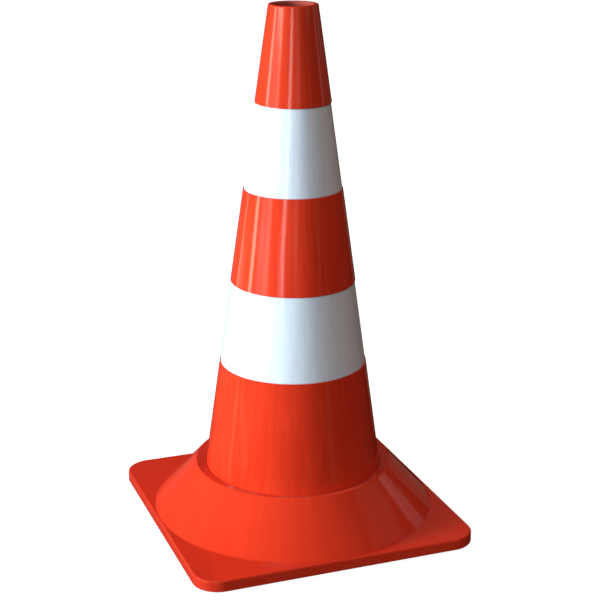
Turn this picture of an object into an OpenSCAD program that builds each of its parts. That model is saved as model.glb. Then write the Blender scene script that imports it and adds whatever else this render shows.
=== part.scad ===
// Traffic cone: a hollow tapered body with two sunk reflective sleeves stands up through
// the collar of a square weighted base. The base rests on the body's foot flange and lifts
// off over the top. Millimetres, +Z up, origin on the ground under the middle of the base.

/* [Cone body] */
// Height of the cone above the ground
total_h = 750; // [700:5:800]
// Outer radius at the top rim
top_r = 34.5; // [33:0.5:38]
// Outer radius where the body leaves the base's collar
collar_r = 127.7; // [122:0.1:129]
// Wall thickness of the body
wall = 3.5; // [3:0.1:4]
// Radius of the straight bore in the top rim
neck_bore_r = 27; // [24:0.5:28]
// Length of the straight bore in the top rim
neck_land = 14; // [8:1:20]
// Outer radius of the foot flange
flange_r = 158; // [154:1:160]
// Thickness of the foot flange
flange_t = 4; // [3.5:0.1:4.2]

/* [Reflective sleeves] */
// Height of the lower sleeve's bottom edge above the ground
lower_sleeve_z = 241.2; // [225:0.1:255]
// Height of the upper sleeve's bottom edge above the ground
upper_sleeve_z = 496; // [480:0.1:510]
// Height of each sleeve's recess in the body
sleeve_h = 120.6; // [100:0.1:125]
// How far the sleeve's face lies below the body's face
sleeve_sink = 1.3; // [0.8:0.1:1.4]
// Thickness of the sleeve
sleeve_t = 0.5; // [0.4:0.05:0.6]
// Angle over which the sleeve's two ends overlap at the rear
seam_angle = 8; // [4:1:15]

/* [Base shell] */
// Side of the square plate
plate_side = 415; // [413:1:425]
// Radius of the plate's corners in plan
plate_corner_r = 37; // [30:1:45]
// Height of the plate's top face above the ground
plate_top = 18.3; // [17:0.1:20]
// Radius of the plate's upper edge
plate_edge_r = 2.5; // [1.5:0.5:3]
// Outer radius of the skirt where it meets the plate
skirt_foot_r = 204.6; // [203.5:0.1:205]
// Outer radius of the skirt where it meets the ledge
skirt_top_r = 143; // [141:0.5:145]
// Height of the ledge's outer edge above the ground
ledge_z = 86.2; // [80:0.1:92]
// Wall thickness of the shell
shell_t = 4; // [3.5:0.1:4.5]
// Number of stiffening ribs under the skirt
rib_count = 8; // [6:1:12]

/* [Ballast and feet] */
// Height of the ballast ring's top face above the ground
ballast_top = 50; // [35:1:55]
// How far the feet hold the plate off the ground
foot_gap = 2; // [1.5:0.1:2.5]
// Radius of each rubber foot
foot_r = 16; // [12:0.5:17]
// Distance of each foot's centre from the two middle planes of the base
foot_xy = 168; // [166:1:170]

/* [Hidden] */
$fn = 128;

// Taper of the body: radius gained for each millimetre down, and wall widths along the radius
taper = (collar_r - top_r) / (total_h - ledge_z);
across = sqrt(1 + taper * taper);
wall_across = wall * across;
recess_across = (sleeve_sink + sleeve_t) * across;
sink_across = sleeve_sink * across;
function cone_r(z) = top_r + taper * (total_h - z);

// Small radii and running gaps
rim_edge_r = 2;
recess_edge_r = 0.8;
arc_steps = 5;
slip = 0.4;
rest_gap = 0.2;
fit_gap = 0.5;
sleeve_end_gap = 0.3;
seam_step = 0.4;

// Rim, transition below the straight bore, and flange edge
neck_taper_h = 22;
flange_chamfer = 1;

// Base shell: ledge dished towards the body, socket wall, ballast chamber and corner pockets
ledge_drop = 3.5;
ledge_edge_r = 2;
socket_t = 3;
socket_end = flange_t + rest_gap;
key_w = 14;
key_h = 6;
key_reach = 142;
plate_under = foot_gap;
plate_ceiling = plate_top - shell_t;
chamber_r = 199;
pocket_clear_r = chamber_r + 5;
pocket_wall = 5;
pocket_start = 60;
rib_t = 3;
lug_count = 8;
lug_w = 12;
lug_reach = 5;
flange_clear_r = flange_r + 2;
skirt_run = skirt_foot_r - skirt_top_r;
skirt_rise = ledge_z - plate_top;
skirt_len = sqrt(skirt_run * skirt_run + skirt_rise * skirt_rise);
skirt_lean = atan2(skirt_run, skirt_rise);
// Inner face of the skirt: radius at a height, and height at a radius
function skirt_in_r(z, t) = skirt_foot_r - (z - plate_top) * skirt_run / skirt_rise
    - t * skirt_len / skirt_rise;
function skirt_in_z(r, t) = plate_top + (skirt_foot_r - r - t * skirt_len / skirt_rise)
    * skirt_rise / skirt_run;
function hole_r(z) = cone_r(z) + slip;
function socket_r(z) = hole_r(z) + socket_t;

// Feet: pad, its recess, and the stem that holds it
foot_pad_h = 4;
foot_stem_r = 5;
foot_stem_h = 9;
stem_gap = 0.05;
foot_recess_gap = 0.3;
foot_boss_r = foot_r + 3;
foot_edge_r = 1;
groove_w = 1.5;
groove_d = 0.8;

// Points of an arc about [x, y] from angle a to angle b
function arc(x, y, r, a, b) =
    [for (i = [0:arc_steps]) let (t = a + (b - a) * i / arc_steps) [x + r * cos(t), y + r * sin(t)]];

// One recess in the body's outline, listed upwards, with its outer edges eased
function recess(z) = concat(
    arc(cone_r(z) - recess_edge_r, z - recess_edge_r, recess_edge_r, 0, 90),
    [[cone_r(z) - recess_across, z],
     [cone_r(z + sleeve_h) - recess_across, z + sleeve_h]],
    arc(cone_r(z + sleeve_h) - recess_edge_r, z + sleeve_h + recess_edge_r, recess_edge_r, -90, 0));

// Outline of the body's wall, from the flange up the outside and down the inside
module body_outline() {
    neck_end = total_h - neck_land;
    inner_start = neck_end - neck_taper_h;
    polygon(concat(
        [[cone_r(0) - wall_across, 0],
         [flange_r - flange_chamfer, 0],
         [flange_r, flange_chamfer],
         [flange_r, flange_t],
         [cone_r(flange_t), flange_t]],
        recess(lower_sleeve_z),
        recess(upper_sleeve_z),
        arc(top_r - rim_edge_r, total_h - rim_edge_r, rim_edge_r, 0, 90),
        arc(neck_bore_r + rim_edge_r, total_h - rim_edge_r, rim_edge_r, 90, 180),
        [[neck_bore_r, neck_end],
         [cone_r(inner_start) - wall_across, inner_start]]));
}

// The four keys that stop the base turning round the body, grown by a gap for their notches
module flange_keys(gap, reach) {
    root_r = cone_r(flange_t) - wall_across / 2;
    for (turn = [0, 90, 180, 270])
        rotate([0, 0, turn])
            translate([root_r, -key_w / 2 - gap, flange_t / 2])
                cube([reach - root_r, key_w + 2 * gap, flange_t / 2 + key_h + gap]);
}

module cone_body() {
    color([0.93, 0.16, 0.05]) {
        rotate_extrude() body_outline();
        flange_keys(0, key_reach);
    }
}

// Outline of a sleeve whose face stands "proud" further out than the sleeve's own face
module sleeve_outline(z, proud) {
    low = z + sleeve_end_gap;
    high = z + sleeve_h - sleeve_end_gap;
    polygon([
        [cone_r(low) - recess_across, low],
        [cone_r(low) - sink_across + proud, low],
        [cone_r(high) - sink_across + proud, high],
        [cone_r(high) - recess_across, high]]);
}

// A sleeve: one strip wrapped round the body, its ends overlapping at the rear
module sleeve(z) {
    rotate_extrude() sleeve_outline(z, 0);
    rotate([0, 0, 90 - seam_angle / 2])
        rotate_extrude(angle = seam_angle) sleeve_outline(z, seam_step);
}

module upper_reflective_sleeve() {
    color([0.92, 0.94, 0.96]) sleeve(upper_sleeve_z);
}

module lower_reflective_sleeve() {
    color([0.92, 0.94, 0.96]) sleeve(lower_sleeve_z);
}

// Half of the plate's outline in section, out to half_w, with both outer edges eased
function plate_section(half_w) = concat(
    [[0, plate_under]],
    arc(half_w - foot_edge_r, plate_under + foot_edge_r, foot_edge_r, -90, 0),
    arc(half_w - plate_edge_r, plate_top - plate_edge_r, plate_edge_r, 0, 90),
    [[0, plate_top]]);

// A bar of the plate's full width, as long as the straight part of its side
module plate_bar() {
    straight = plate_side - 2 * plate_corner_r;
    rotate([90, 0, 90]) linear_extrude(straight, center = true) {
        polygon(plate_section(plate_side / 2));
        mirror([1, 0]) polygon(plate_section(plate_side / 2));
    }
}

// The square plate with round corners and eased edges
module plate_solid() {
    middle = plate_side / 2 - plate_corner_r;
    plate_bar();
    rotate([0, 0, 90]) plate_bar();
    for (x = [-middle, middle], y = [-middle, middle])
        translate([x, y, 0]) rotate_extrude() polygon(plate_section(plate_corner_r));
}

// Skirt and dished ledge, as one solid of revolution
module skirt_solid() {
    ledge_in_z = ledge_z - ledge_drop;
    ledge_in_r = hole_r(ledge_in_z);
    ledge_mid_z = ledge_z - ledge_edge_r;
    ledge_mid_r = skirt_top_r - ledge_edge_r * tan((90 - skirt_lean) / 2);
    dish_lean = atan2(ledge_drop, ledge_mid_r - ledge_in_r);
    rotate_extrude() polygon(concat(
        [[0, plate_under], [skirt_foot_r, plate_under], [skirt_foot_r, plate_top]],
        arc(ledge_mid_r, ledge_mid_z, ledge_edge_r, 90 - skirt_lean, 90 + dish_lean),
        [[ledge_in_r, ledge_in_z], [0, ledge_in_z]]));
}

// The space that the body's lower end fills
module body_hole() {
    low = -1;
    high = ledge_z + 1;
    rotate_extrude() polygon([[0, low], [hole_r(low), low], [hole_r(high), high], [0, high]]);
}

// The ring-shaped room between skirt and socket wall, less the ribs and the snap lugs
module ballast_chamber() {
    low = plate_under - 1;
    high = ledge_z - shell_t;
    high_in = high - ledge_drop;
    difference() {
        rotate_extrude() polygon([
            [socket_r(low), low],
            [chamber_r, low],
            [chamber_r, skirt_in_z(chamber_r, shell_t)],
            [skirt_in_r(high, shell_t), high],
            [socket_r(high_in), high_in]]);
        for (i = [0:rib_count - 1])
            rotate([0, 0, (i + 0.5) * 360 / rib_count])
                translate([skirt_top_r / 2, -rib_t / 2, ballast_top + rest_gap])
                    cube([skirt_top_r, rib_t, high]);
        for (i = [0:lug_count - 1])
            rotate([0, 0, i * 360 / lug_count])
                translate([chamber_r - lug_reach, -lug_w / 2, 0])
                    cube([2 * lug_reach, lug_w, flange_t + 2 * rest_gap]);
    }
}

// A hollow under one corner of the plate, with its ribs and foot boss left standing
module corner_pocket() {
    reach = plate_side / 2 - pocket_wall;
    round_r = plate_corner_r - pocket_wall;
    low = plate_under - 1;
    deep = plate_ceiling - low;
    difference() {
        union() {
            translate([pocket_start, pocket_start, low])
                cube([reach - round_r - pocket_start, reach - pocket_start, deep]);
            translate([pocket_start, pocket_start, low])
                cube([reach - pocket_start, reach - round_r - pocket_start, deep]);
            translate([reach - round_r, reach - round_r, low]) cylinder(deep, r = round_r);
        }
        translate([0, 0, low - 1]) cylinder(deep + 2, r = pocket_clear_r);
        translate([foot_xy, foot_xy, low - 1]) cylinder(deep + 2, r = foot_boss_r);
        for (turn = [0, 90, 180, 270])
            translate([foot_xy, foot_xy, plate_under + rib_t])
                rotate([0, 0, turn]) translate([0, -rib_t / 2, 0])
                    cube([plate_side, rib_t, plate_side]);
    }
}

// The recess and the blind hole that hold one foot
module foot_seat() {
    translate([0, 0, -1]) cylinder(foot_pad_h + 1, r = foot_r + foot_recess_gap);
    cylinder(foot_pad_h + foot_stem_h + rest_gap, r = foot_stem_r + stem_gap);
}

module base_shell() {
    color([0.90, 0.17, 0.06]) difference() {
        union() {
            plate_solid();
            skirt_solid();
        }
        body_hole();
        flange_keys(slip, key_reach + socket_t);
        ballast_chamber();
        translate([0, 0, -1]) cylinder(socket_end + 1, r = flange_clear_r);
        for (turn = [0, 90, 180, 270])
            rotate([0, 0, turn]) {
                corner_pocket();
                translate([foot_xy, foot_xy, 0]) foot_seat();
            }
    }
}

// Heavy ring that fills the lower part of the chamber and sits on the lugs
module ballast_ring() {
    low = socket_end + 1;
    inner = socket_t + slip + fit_gap;
    color([0.07, 0.07, 0.07]) rotate_extrude() polygon([
        [cone_r(low) + inner, low],
        [chamber_r - fit_gap, low],
        [chamber_r - fit_gap, skirt_in_z(chamber_r - fit_gap, shell_t + fit_gap)],
        [skirt_in_r(ballast_top, shell_t + fit_gap), ballast_top],
        [cone_r(ballast_top) + inner, ballast_top]]);
}

// A foot: a grooved rubber pad with a stem pressed up into the base shell
module rubber_foot() {
    outer_groove = foot_r * 0.7;
    inner_groove = foot_r * 0.35;
    color([0.10, 0.10, 0.10]) difference() {
        rotate_extrude() polygon(concat(
            [[0, 0]],
            arc(foot_r - foot_edge_r, foot_edge_r, foot_edge_r, -90, 0),
            [[foot_r, foot_pad_h],
             [foot_stem_r, foot_pad_h],
             [foot_stem_r, foot_pad_h + foot_stem_h - foot_edge_r],
             [foot_stem_r - foot_edge_r, foot_pad_h + foot_stem_h],
             [0, foot_pad_h + foot_stem_h]]));
        for (r = [inner_groove, outer_groove])
            rotate_extrude() translate([r, -1]) square([groove_w, 1 + groove_d]);
    }
}

module rubber_foot_front_left() {
    translate([-foot_xy, -foot_xy, 0]) rubber_foot();
}

module rubber_foot_front_right() {
    translate([foot_xy, -foot_xy, 0]) rubber_foot();
}

module rubber_foot_rear_left() {
    translate([-foot_xy, foot_xy, 0]) rubber_foot();
}

module rubber_foot_rear_right() {
    translate([foot_xy, foot_xy, 0]) rubber_foot();
}

cone_body();
upper_reflective_sleeve();
lower_reflective_sleeve();
base_shell();
ballast_ring();
rubber_foot_front_left();
rubber_foot_front_right();
rubber_foot_rear_left();
rubber_foot_rear_right();
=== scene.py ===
"""Traffic cone: the looks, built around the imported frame. Metres, +Z up, front at -Y, left at -X."""

import math

import bpy
from mathutils import Matrix, Vector


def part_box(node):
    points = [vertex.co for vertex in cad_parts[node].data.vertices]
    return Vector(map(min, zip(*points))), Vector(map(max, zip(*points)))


# The camera: where it stands round the object's axis, and how it is turned from facing that axis
CAMERA_DISTANCE = 2.032
CAMERA_HEIGHT = 1.0056
CAMERA_BEARING = -20.23
CAMERA_YAW = -0.286
CAMERA_PITCH = -18.391
CAMERA_ROLL = -0.163
LENS_MM = 89.69
SENSOR_MM = 36.0

# Colours, linear
BODY_ORANGE = (0.85, 0.042, 0.0120)
BASE_ORANGE = (0.86, 0.044, 0.0138)
FILM_WHITE = (0.86, 0.87, 0.88)
EDGE_GREY = (0.62, 0.6, 0.6)
CRUMB_BLACK = (0.018, 0.018, 0.018)
CRUMB_GREY = (0.09, 0.088, 0.085)
RUBBER_BLACK = (0.02, 0.02, 0.021)
RUBBER_WORN = (0.05, 0.048, 0.046)

# Shares by which the plastic's flow lines are darker and lighter, for each channel
FLOW_DARKER = (0.07, 0.16, 0.18)
FLOW_LIGHTER = (0.04, 0.16, 0.18)

# Factors for each channel: plastic darker towards the top, darkened by road grime, and painted shade on the
# inner faces and underside, with a pale painted sheen added there
TOP_DARKENING = (0.84, 1.0, 1.05)
GRIME_SHADE = (0.91, 0.82, 0.86)
INSIDE_PAINTED_SHADE = (0.56, 0.75, 0.8)
INSIDE_PAINTED_SHEEN = (0.0, 0.06, 0.05)

# What the gloss reflects. Each panel: left and right bearing from the camera's side, low and high edge
# at PANEL_DISTANCE, radiance, colour, and lean of its top to the left in degrees
PANEL_DISTANCE = 3.0
WARM = (1.0, 0.98, 0.76)
COOL = (0.85, 0.95, 1.0)
PLAIN = (1.0, 1.0, 1.0)
AMBER = (1.0, 0.9, 0.45)
GLOSS_PANELS = {
    "pane_bright": (-87.5, -80, -0.10, 1.25, 6.2, WARM, 0),
    "pane_narrow": (-79, -74, 0.55, 1.25, 1.0, COOL, 0),
    "pane_wide": (-72, -58, 0.05, 1.15, 0.75, COOL, 0),
    "pane_stripe": (-67, -62, 0.05, 0.75, 0.7, COOL, -3),
    "pane_right": (-56, -46, 0.05, 1.15, 2.0, WARM, -14),
    "pane_top": (-67, -43, 1.03, 1.30, 4.6, WARM, 0),
    "slanted_bright": (-14.5, -9, 0.12, 1.52, 4.6, PLAIN, -45),
    "slanted_foot": (-27, -17, 0.12, 0.38, 1.8, COOL, -10),
    "slanted_dim": (8.5, 14.5, 0.10, 1.40, 0.5, PLAIN, -47),
    "far_left_low": (-124, -117, -0.20, 0.35, 1.1, WARM, 0),
    "far_left_foot": (-123, -103, -0.30, 0.03, 0.7, WARM, 0),
    "sill": (-80, -61, -0.405, -0.37, 1.6, WARM, -7),
    "low_left_post": (-91, -86.5, -0.80, -0.30, 0.9, AMBER, 0),
    "right_faint": (48, 55, -0.80, 1.20, 0.10, PLAIN, 0),
    "right_narrow": (60, 78, 1.05, 1.30, 0.5, PLAIN, 0),
    "right_strip": (96, 106, 0.55, 1.30, 0.35, PLAIN, 0),
    "right_top": (115.5, 136, 1.00, 1.30, 0.20, PLAIN, 0),
    "right_high": (70, 112, 1.50, 2.60, 0.12, PLAIN, 0),
    "rear_right_upper": (118, 124.5, 0.42, 0.60, 0.13, PLAIN, 0),
    "rear_right_band": (116, 127.5, 0.60, 1.40, 0.23, PLAIN, 0),
    "right_wide": (58, 134, -1.20, 2.00, 0.025, WARM, 0),
    "rear_right_low": (142.6, 155.4, -1.00, 0.80, 0.085, WARM, 29),
    "rear_left_low": (-165, -142, -0.70, 0.30, 0.05, PLAIN, 0),
    "rear_glow": (160, 174, 1.10, 1.90, 0.09, WARM, 0),
}

# The window of daylight that only matt surfaces see, in the same terms
SKY_WINDOW = (-96, -46, 0.1, 1.3, 15.5, (0.42, 0.74, 1.0), 0)

# The low sun: bearing from the camera's side, elevation and width in degrees, strength and colour
SUN_BEARING = -72.5
SUN_ELEVATION = 14
SUN_WIDTH = 12
SUN_STRENGTH = 2.25
SUN_COLOUR = (1.0, 0.97, 0.92)

# The room's light: in front and on the left, on the right, and overhead; and how much of it gloss loses
ROOM_LEFT = (0.68, 0.79, 0.88)
ROOM_RIGHT = (0.062, 0.030, 0.018)
ROOM_OVERHEAD = (0.52, 0.425, 0.39)
GLOSS_LOSS = 0.96

# The floor: its size, its grey and glow in the picture, and the colour of the light that it throws back
FLOOR_RADIUS = 12.0
FLOOR_GREY = (0.30, 0.30, 0.30)
FLOOR_GLOW = 0.92
FLOOR_BOUNCE = (0.18, 0.14, 0.12)

# The kerb: a strip out of the picture
KERB_LENGTH = 2.6
KERB_HEIGHT = 0.165
KERB_BEARING = -78
KERB_DISTANCE = 0.95

# The plate's corner radius in plan and its top; how wide the worn stretch beside an edge is, and how far
# from the edge it is at its full strength
PLATE_CORNER = 0.037
PLATE_TOP = 0.0183
WORN_WIDTH = 0.0035
EDGE_MARGIN = 0.0005

# Heights between which the plastic's colour darkens towards the top
TOP_DARKENING_LOW = 0.52
TOP_DARKENING_HIGH = 0.73

# Width of the greyer border along the top and bottom edges of the reflective film
GREY_EDGE_WIDTH = 0.0014


# ---------------------------------------------------------------- node helpers

class Nodes:
    """A short way to write a node tree: each call adds one node and returns the socket that matters."""

    def __init__(self, tree):
        self.tree = tree
        tree.nodes.clear()

    def add(self, kind, **settings):
        node = self.tree.nodes.new(kind)
        for name, value in settings.items():
            setattr(node, name, value)
        return node

    def put(self, socket, value):
        """Links a socket to another, or sets its value."""
        if isinstance(value, bpy.types.NodeSocket):
            self.tree.links.new(value, socket)
        elif isinstance(value, tuple) and socket.type == "RGBA":
            socket.default_value = (*value, 1.0)[:4]
        else:
            socket.default_value = value

    def object_point(self, scale=(1, 1, 1)):
        """The point on the object, in metres of the shared frame, times a scale along each axis."""
        place = self.add("ShaderNodeTexCoord").outputs["Object"]
        if scale == (1, 1, 1):
            return place
        mapping = self.add("ShaderNodeMapping")
        self.put(mapping.inputs["Vector"], place)
        mapping.inputs["Scale"].default_value = scale
        return mapping.outputs["Vector"]

    def around(self, height_share):
        """The direction away from the axis, plus a share of the height: noise on it runs down the taper."""
        flat = self.add("ShaderNodeVectorMath", operation="MULTIPLY")
        self.put(flat.inputs[0], self.object_point())
        flat.inputs[1].default_value = (1.0, 1.0, 0.0)
        away = self.add("ShaderNodeVectorMath", operation="NORMALIZE")
        self.put(away.inputs[0], flat.outputs[0])
        rise = self.add("ShaderNodeVectorMath", operation="MULTIPLY_ADD")
        self.put(rise.inputs[0], self.object_point())
        rise.inputs[1].default_value = (0.0, 0.0, height_share)
        self.put(rise.inputs[2], away.outputs[0])
        return away.outputs[0], rise.outputs[0]

    def axes(self, vector):
        node = self.add("ShaderNodeSeparateXYZ")
        self.put(node.inputs[0], vector)
        return node.outputs

    def facing(self, direction):
        """Cosine between the surface's own normal and a direction."""
        node = self.add("ShaderNodeVectorMath", operation="DOT_PRODUCT")
        self.put(node.inputs[0], self.add("ShaderNodeTexCoord").outputs["Normal"])
        self.put(node.inputs[1], direction)
        return node.outputs["Value"]

    def noise(self, point, scale, detail, roughness=0.55, distortion=0.0):
        node = self.add("ShaderNodeTexNoise")
        self.put(node.inputs["Vector"], point)
        node.inputs["Scale"].default_value = scale
        node.inputs["Detail"].default_value = detail
        node.inputs["Roughness"].default_value = roughness
        node.inputs["Distortion"].default_value = distortion
        return node.outputs["Fac"]

    def math(self, operation, a, b=0.0):
        node = self.add("ShaderNodeMath", operation=operation)
        self.put(node.inputs[0], a)
        self.put(node.inputs[1], b)
        return node.outputs[0]

    def span(self, value, low, high, to_low=0.0, to_high=1.0):
        """Maps low..high to to_low..to_high, smoothly and held at both ends."""
        node = self.add("ShaderNodeMapRange", interpolation_type="SMOOTHSTEP")
        for name, number in (("Value", value), ("From Min", low), ("From Max", high),
                             ("To Min", to_low), ("To Max", to_high)):
            self.put(node.inputs[name], number)
        return node.outputs["Result"]

    def mix(self, share, a, b):
        node = self.add("ShaderNodeMix", data_type="RGBA")
        colours = [s for s in node.inputs if s.type == "RGBA"]
        self.put(node.inputs[0], share)
        self.put(colours[0], a)
        self.put(colours[1], b)
        return [s for s in node.outputs if s.type == "RGBA"][0]

    def bump(self, height, strength, distance, under=None):
        node = self.add("ShaderNodeBump")
        node.inputs["Strength"].default_value = strength
        node.inputs["Distance"].default_value = distance
        self.put(node.inputs["Height"], height)
        if under is not None:
            self.put(node.inputs["Normal"], under)
        return node.outputs["Normal"]


def new_material(name, roughness):
    """A Principled material: the material, its node tree and its shader."""
    material = bpy.data.materials.new(name)
    material.use_nodes = True
    n = Nodes(material.node_tree)
    out = n.add("ShaderNodeOutputMaterial")
    shader = n.add("ShaderNodeBsdfPrincipled")
    n.tree.links.new(shader.outputs[0], out.inputs["Surface"])
    shader.inputs["Roughness"].default_value = roughness
    return material, n, shader


def shaded(tint, factors, added=(0.0, 0.0, 0.0)):
    """A colour times one factor for each channel, plus an added colour, held at 1."""
    return tuple(min(1.0, c * k + d) for c, k, d in zip(tint, factors, added))


# ------------------------------------------------------------------- materials

def rim_edge(n):
    """1 at the top rim of the body, 0 elsewhere."""
    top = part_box("cone_body")[1][2]
    return n.span(n.axes(n.object_point())[2], top - WORN_WIDTH, top - EDGE_MARGIN)


def darker_top(n):
    """Rises from 0 to 1 up the top fifth of the cone, where the colour is made a little darker."""
    return n.span(n.axes(n.object_point())[2], TOP_DARKENING_LOW, TOP_DARKENING_HIGH)


def plate_edge(n):
    """1 along the outline of the square plate with its round corners, 0 elsewhere."""
    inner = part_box("base_shell")[1][0] - PLATE_CORNER
    x, y, z = n.axes(n.object_point())
    past_x = n.math("MAXIMUM", n.math("SUBTRACT", n.math("ABSOLUTE", x), inner), 0.0)
    past_y = n.math("MAXIMUM", n.math("SUBTRACT", n.math("ABSOLUTE", y), inner), 0.0)
    squares = n.math("ADD", n.math("MULTIPLY", past_x, past_x), n.math("MULTIPLY", past_y, past_y))
    return n.span(n.math("SQRT", squares), PLATE_CORNER - WORN_WIDTH, PLATE_CORNER - EDGE_MARGIN)


def plate_grime(n):
    """Road grime in patches on the plate's upper face, none on the skirt and above."""
    low = n.span(n.axes(n.object_point())[2], PLATE_TOP + 0.002, PLATE_TOP)
    flat = n.math("MULTIPLY", low, n.span(n.facing((0.0, 0.0, 1.0)), 0.3, 0.7))
    patches = n.noise(n.object_point(), scale=14.0, detail=4.0)
    return n.math("MULTIPLY", flat, n.span(patches, 0.3, 0.6, to_low=0.7, to_high=1.0))


def orange_plastic(name, tint, edge, contrast, grime=None):
    """Glossy moulded plastic, with flow lines down the taper, smudges, fine scratches and scuffed edges.

    Its inner faces and its underside are rougher, as moulded faces are that were never polished, and their
    colour carries painted shade, darker and with a pale painted sheen. edge and grime give the shares of
    wear and of dirt; contrast is the strength of the flow lines.
    """
    material, n, shader = new_material(name, 0.2)
    point = n.object_point()
    away, straight = n.around(0.12)
    taper = n.around(0.8)[1]
    inner_face = n.span(n.facing(away), -0.15, -0.4)
    underside = n.span(n.facing((0.0, 0.0, -1.0)), 0.35, 0.7)
    hidden = n.math("MAXIMUM", inner_face, underside)

    drift = n.noise(point, scale=5.0, detail=3.0)
    flow = n.noise(taper, scale=16.0, detail=4.0)
    shade = n.math("ADD", n.math("MULTIPLY", drift, 0.55), n.math("MULTIPLY", flow, 0.45))
    dark = shaded(tint, [1 - k * contrast for k in FLOW_DARKER])
    light = shaded(tint, [1 + k * contrast for k in FLOW_LIGHTER])
    colour = n.mix(n.span(shade, 0.38, 0.62), dark, light)
    # Colour made a little darker towards the top
    colour = n.mix(n.math("MULTIPLY", darker_top(n), 0.8), colour, shaded(tint, TOP_DARKENING))
    if grime:
        colour = n.mix(grime(n), colour, shaded(tint, GRIME_SHADE))
    # Painted shade on the inner faces and underside: a darker colour with a pale painted sheen added
    colour = n.mix(n.math("MULTIPLY", hidden, 0.9), colour, shaded(tint, INSIDE_PAINTED_SHADE, INSIDE_PAINTED_SHEEN))

    stroke = n.add("ShaderNodeMapping")
    n.put(stroke.inputs["Vector"], point)
    stroke.inputs["Rotation"].default_value = (0.5, 0.7, 0.3)
    stroke.inputs["Scale"].default_value = (1.0, 1.0, 0.035)
    patch = n.span(n.noise(point, scale=11.0, detail=3.0), 0.52, 0.66)
    hairs = n.noise(stroke.outputs["Vector"], scale=520.0, detail=2.0)
    scratch = n.math("MULTIPLY", n.span(hairs, 0.66, 0.72), patch)
    specks = n.noise(point, scale=130.0, detail=5.0, roughness=0.65)
    scuff = n.math("MULTIPLY", edge(n), n.span(specks, 0.47, 0.62))
    pale = shaded(tint, (0.75, 0.75, 0.75), (0.07, 0.07, 0.07))
    colour = n.mix(n.math("MULTIPLY", scratch, 0.3), colour, pale)
    colour = n.mix(n.math("MULTIPLY", scuff, 0.10), colour, pale)
    n.put(shader.inputs["Base Color"], colour)

    smudge = n.noise(point, scale=22.0, detail=5.0, roughness=0.6, distortion=0.8)
    polish = n.math("MULTIPLY", n.noise(taper, scale=60.0, detail=3.0), 0.05)
    rough = n.math("ADD", n.span(smudge, 0.35, 0.75, to_low=0.045, to_high=0.105), polish)
    marks = n.math("MULTIPLY", n.math("MAXIMUM", scratch, scuff), 0.15)
    rough = n.math("ADD", n.math("ADD", rough, marks), n.math("MULTIPLY", hidden, 0.3))
    n.put(shader.inputs["Roughness"], rough)

    waves = n.noise(n.object_point((1.0, 1.0, 0.06)), scale=26.0, detail=2.0)
    ripple = n.bump(waves, strength=0.3, distance=0.0008)
    flow_lines = n.noise(straight, scale=34.0, detail=3.0)
    lines = n.bump(flow_lines, strength=0.3, distance=0.00016, under=ripple)
    peel = n.bump(n.noise(point, scale=700.0, detail=2.0), strength=0.04, distance=0.0004, under=lines)
    n.put(shader.inputs["Normal"], n.bump(scratch, strength=0.2, distance=-0.00006, under=peel))
    return material


def white_film(name, low, high):
    """Smooth reflective film with fine glass beads, faint streaks along the height and greyer top and
    bottom edges.
    """
    material, n, shader = new_material(name, 0.1)
    point = n.object_point()
    taper = n.around(1.2)[1]
    streak = n.noise(taper, scale=20.0, detail=4.0)
    colour = n.mix(n.span(streak, 0.35, 0.65), shaded(FILM_WHITE, (0.95, 0.95, 0.95)), FILM_WHITE)
    z = n.axes(point)[2]
    full = 0.6 * GREY_EDGE_WIDTH
    # The film's colour turns greyer along its top and bottom edges
    grey_edge = n.math("MAXIMUM", n.span(z, low + GREY_EDGE_WIDTH, low + full),
                  n.span(z, high - GREY_EDGE_WIDTH, high - full))
    n.put(shader.inputs["Base Color"], n.mix(n.math("MULTIPLY", grey_edge, 0.5), colour, EDGE_GREY))
    smudge = n.noise(point, scale=30.0, detail=4.0)
    n.put(shader.inputs["Roughness"], n.span(smudge, 0.3, 0.75, to_low=0.07, to_high=0.14))
    ripple = n.bump(n.noise(taper, scale=18.0, detail=2.0), strength=0.3, distance=0.0004)
    beads = n.add("ShaderNodeTexVoronoi")
    n.put(beads.inputs["Vector"], point)
    beads.inputs["Scale"].default_value = 2600.0
    relief = n.bump(beads.outputs["Distance"], strength=0.06, distance=0.0001, under=ripple)
    n.put(shader.inputs["Normal"], relief)
    return material


def crumb_rubber():
    """Recycled rubber: pressed black crumb with a few grey grains."""
    material, n, shader = new_material("crumb_rubber", 0.75)
    grains = n.add("ShaderNodeTexVoronoi")
    n.put(grains.inputs["Vector"], n.object_point())
    grains.inputs["Scale"].default_value = 320.0
    tone = n.add("ShaderNodeSeparateColor")
    n.put(tone.inputs["Color"], grains.outputs["Color"])
    pale = n.span(tone.outputs[0], 0.86, 0.95)
    n.put(shader.inputs["Base Color"], n.mix(pale, CRUMB_BLACK, CRUMB_GREY))
    n.put(shader.inputs["Normal"], n.bump(grains.outputs["Distance"], strength=0.6, distance=0.0008))
    return material


def matt_rubber():
    """Moulded black rubber with a fine matt grain."""
    material, n, shader = new_material("matt_rubber", 0.6)
    point = n.object_point()
    worn = n.noise(point, scale=60.0, detail=5.0, roughness=0.65)
    n.put(shader.inputs["Base Color"], n.mix(n.span(worn, 0.45, 0.75), RUBBER_BLACK, RUBBER_WORN))
    n.put(shader.inputs["Roughness"], n.span(worn, 0.3, 0.7, to_low=0.5, to_high=0.75))
    grain = n.noise(point, scale=1800.0, detail=2.0)
    n.put(shader.inputs["Normal"], n.bump(grain, strength=0.25, distance=0.0003))
    return material


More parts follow.
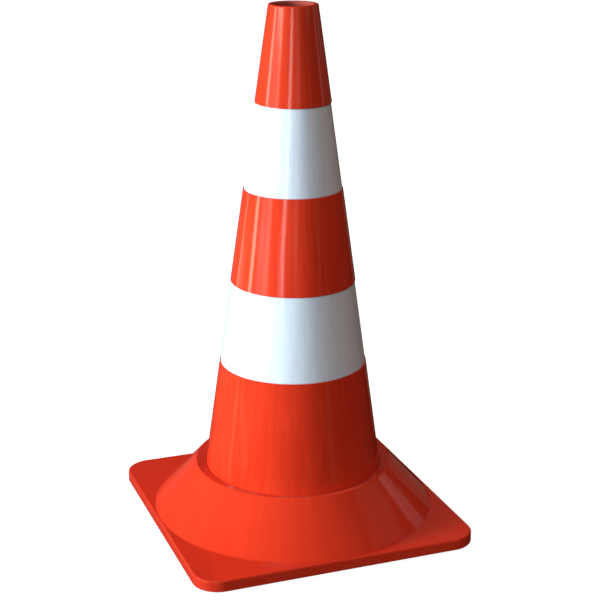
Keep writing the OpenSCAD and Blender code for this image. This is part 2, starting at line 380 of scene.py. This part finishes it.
def paint_cad(frame):
    """Gives every CAD node its material."""
    foot_rubber = matt_rubber()
    materials = {"cone_body": orange_plastic("body_orange", BODY_ORANGE, rim_edge, contrast=1.0),
                 "base_shell": orange_plastic("base_orange", BASE_ORANGE, plate_edge, contrast=0.5,
                                              grime=plate_grime),
                 "ballast_ring": crumb_rubber()}
    for name, node in frame["nodes"].items():
        if "sleeve" in name:
            low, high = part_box(name)
            material = white_film(name + "_film", low[2], high[2])
        else:
            material = materials.get(name, foot_rubber)
        node.material_slots[0].material = material


# ------------------------------------------------------- stage, lights, camera

def toward(bearing, elevation):
    """Unit vector to a bearing from the camera's side, right is positive, and an elevation, in degrees."""
    a = math.radians(CAMERA_BEARING + bearing)
    e = math.radians(elevation)
    return Vector((math.sin(a) * math.cos(e), -math.cos(a) * math.cos(e), math.sin(e)))


def make_camera():
    data = bpy.data.cameras.new("camera")
    data.lens = LENS_MM
    data.sensor_width = SENSOR_MM
    data.clip_start = 0.05
    data.clip_end = 60.0
    camera = bpy.data.objects.new("camera", data)
    bpy.context.scene.collection.objects.link(camera)
    turn = (Matrix.Rotation(math.radians(CAMERA_BEARING + CAMERA_YAW), 4, "Z")
            @ Matrix.Rotation(math.radians(CAMERA_PITCH), 4, "X")
            @ Matrix.Rotation(math.radians(CAMERA_ROLL), 4, "Y")
            @ Matrix.Rotation(math.radians(90), 4, "X"))
    place = toward(0, 0) * CAMERA_DISTANCE
    place.z = CAMERA_HEIGHT
    camera.matrix_world = Matrix.Translation(place) @ turn
    bpy.context.scene.camera = camera


def make_sun():
    """The low sun, which the gloss doesn't see."""
    data = bpy.data.lights.new("key_sun", "SUN")
    data.energy = SUN_STRENGTH
    data.angle = math.radians(SUN_WIDTH)
    data.color = SUN_COLOUR
    lamp = bpy.data.objects.new("key_sun", data)
    lamp.rotation_mode = "QUATERNION"
    lamp.rotation_quaternion = toward(SUN_BEARING, SUN_ELEVATION).to_track_quat("Z", "Y")
    lamp.visible_glossy = False
    bpy.context.scene.collection.objects.link(lamp)


def make_panel(name, left, right, low, high, radiance, colour, lean, seen_by="glossy"):
    """A glowing panel that spans two bearings and two heights, PANEL_DISTANCE from the axis.

    It lights either matt surfaces ("diffuse") or the gloss on them ("glossy"), as its last argument says.
    """
    width = 2 * PANEL_DISTANCE * math.tan(math.radians(abs(right - left) / 2))
    height = high - low
    data = bpy.data.lights.new(name, "AREA")
    data.shape = "RECTANGLE"
    data.size = width
    data.size_y = height
    data.energy = radiance * math.pi * width * height
    data.color = colour
    lamp = bpy.data.objects.new(name, data)
    way = toward((left + right) / 2, 0)
    place = way * PANEL_DISTANCE
    place.z = (low + high) / 2
    lamp.matrix_world = (Matrix.Translation(place)
                         @ way.to_track_quat("Z", "Y").to_matrix().to_4x4()
                         @ Matrix.Rotation(math.radians(lean), 4, "Z"))
    lamp.visible_camera = False
    lamp.visible_diffuse = seen_by == "diffuse"
    lamp.visible_glossy = seen_by == "glossy"
    bpy.context.scene.collection.objects.link(lamp)


def make_lights():
    make_sun()
    make_panel("sky_window", *SKY_WINDOW, seen_by="diffuse")
    for name, panel in GLOSS_PANELS.items():
        make_panel(name, *panel)


def make_world():
    """White to the camera; as light, a dim room, brighter and bluer on the left and dark on the right."""
    world = bpy.data.worlds.new("world")
    bpy.context.scene.world = world
    world.use_nodes = True
    n = Nodes(world.node_tree)
    out = n.add("ShaderNodeOutputWorld")
    turn = n.add("ShaderNodeVectorRotate", rotation_type="Z_AXIS")
    n.put(turn.inputs["Vector"], n.add("ShaderNodeTexCoord").outputs["Generated"])
    turn.inputs["Angle"].default_value = -math.radians(CAMERA_BEARING)
    right, back, up = n.axes(turn.outputs[0])
    behind = n.math("MULTIPLY", n.math("MAXIMUM", back, 0.0), 0.35)
    level = n.mix(n.span(n.math("ADD", right, behind), -0.01, 0.655), ROOM_LEFT, ROOM_RIGHT)
    room = n.mix(n.span(up, 0.3, 0.85), level, ROOM_OVERHEAD)
    paths = n.add("ShaderNodeLightPath")
    lost = n.math("MULTIPLY", paths.outputs["Is Glossy Ray"], GLOSS_LOSS)
    light = n.mix(lost, room, (0.0, 0.0, 0.0))
    seen = n.mix(paths.outputs["Is Camera Ray"], light, (1.0, 1.0, 1.0))
    background = n.add("ShaderNodeBackground")
    n.put(background.inputs["Color"], seen)
    n.tree.links.new(background.outputs[0], out.inputs["Surface"])


def make_floor():
    """A wide pale floor at the height of the feet."""
    bpy.ops.mesh.primitive_circle_add(vertices=96, radius=FLOOR_RADIUS, fill_type="NGON")
    floor = bpy.context.object
    floor.name = "floor"
    material = bpy.data.materials.new("pale_floor")
    material.use_nodes = True
    n = Nodes(material.node_tree)
    out = n.add("ShaderNodeOutputMaterial")
    camera_ray = n.add("ShaderNodeLightPath").outputs["Is Camera Ray"]
    matt = n.add("ShaderNodeBsdfDiffuse")
    n.put(matt.inputs["Color"], n.mix(camera_ray, FLOOR_BOUNCE, FLOOR_GREY))
    glow = n.add("ShaderNodeEmission")
    n.put(glow.inputs["Color"], (1.0, 1.0, 1.0))
    n.put(glow.inputs["Strength"], n.math("MULTIPLY", camera_ray, FLOOR_GLOW))
    both = n.add("ShaderNodeAddShader")
    n.put(both.inputs[0], matt.outputs[0])
    n.put(both.inputs[1], glow.outputs[0])
    n.tree.links.new(both.outputs[0], out.inputs["Surface"])
    floor.data.materials.append(material)
    floor.visible_glossy = False


def make_kerb():
    """A low strip on the left, out of the picture, that keeps part of the sun off the plate."""
    bpy.ops.mesh.primitive_plane_add(size=1.0)
    kerb = bpy.context.object
    kerb.name = "kerb"
    kerb.scale = (KERB_LENGTH, KERB_HEIGHT, 1.0)
    way = toward(KERB_BEARING, 0)
    place = way * KERB_DISTANCE
    place.z = KERB_HEIGHT / 2
    kerb.rotation_euler = (math.radians(90), 0.0, math.atan2(way.x, -way.y))
    kerb.location = place
    kerb.visible_camera = False
    kerb.visible_glossy = False


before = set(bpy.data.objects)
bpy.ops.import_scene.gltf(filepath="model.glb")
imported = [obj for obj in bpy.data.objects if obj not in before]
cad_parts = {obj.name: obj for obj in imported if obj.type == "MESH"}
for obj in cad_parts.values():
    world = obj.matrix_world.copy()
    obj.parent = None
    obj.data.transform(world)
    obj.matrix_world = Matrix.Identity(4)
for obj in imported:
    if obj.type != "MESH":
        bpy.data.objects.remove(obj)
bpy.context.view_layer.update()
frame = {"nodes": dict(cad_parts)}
bpy.context.scene.view_settings.view_transform = "Standard"
make_camera()
make_world()
make_lights()
make_floor()
make_kerb()
paint_cad(frame)
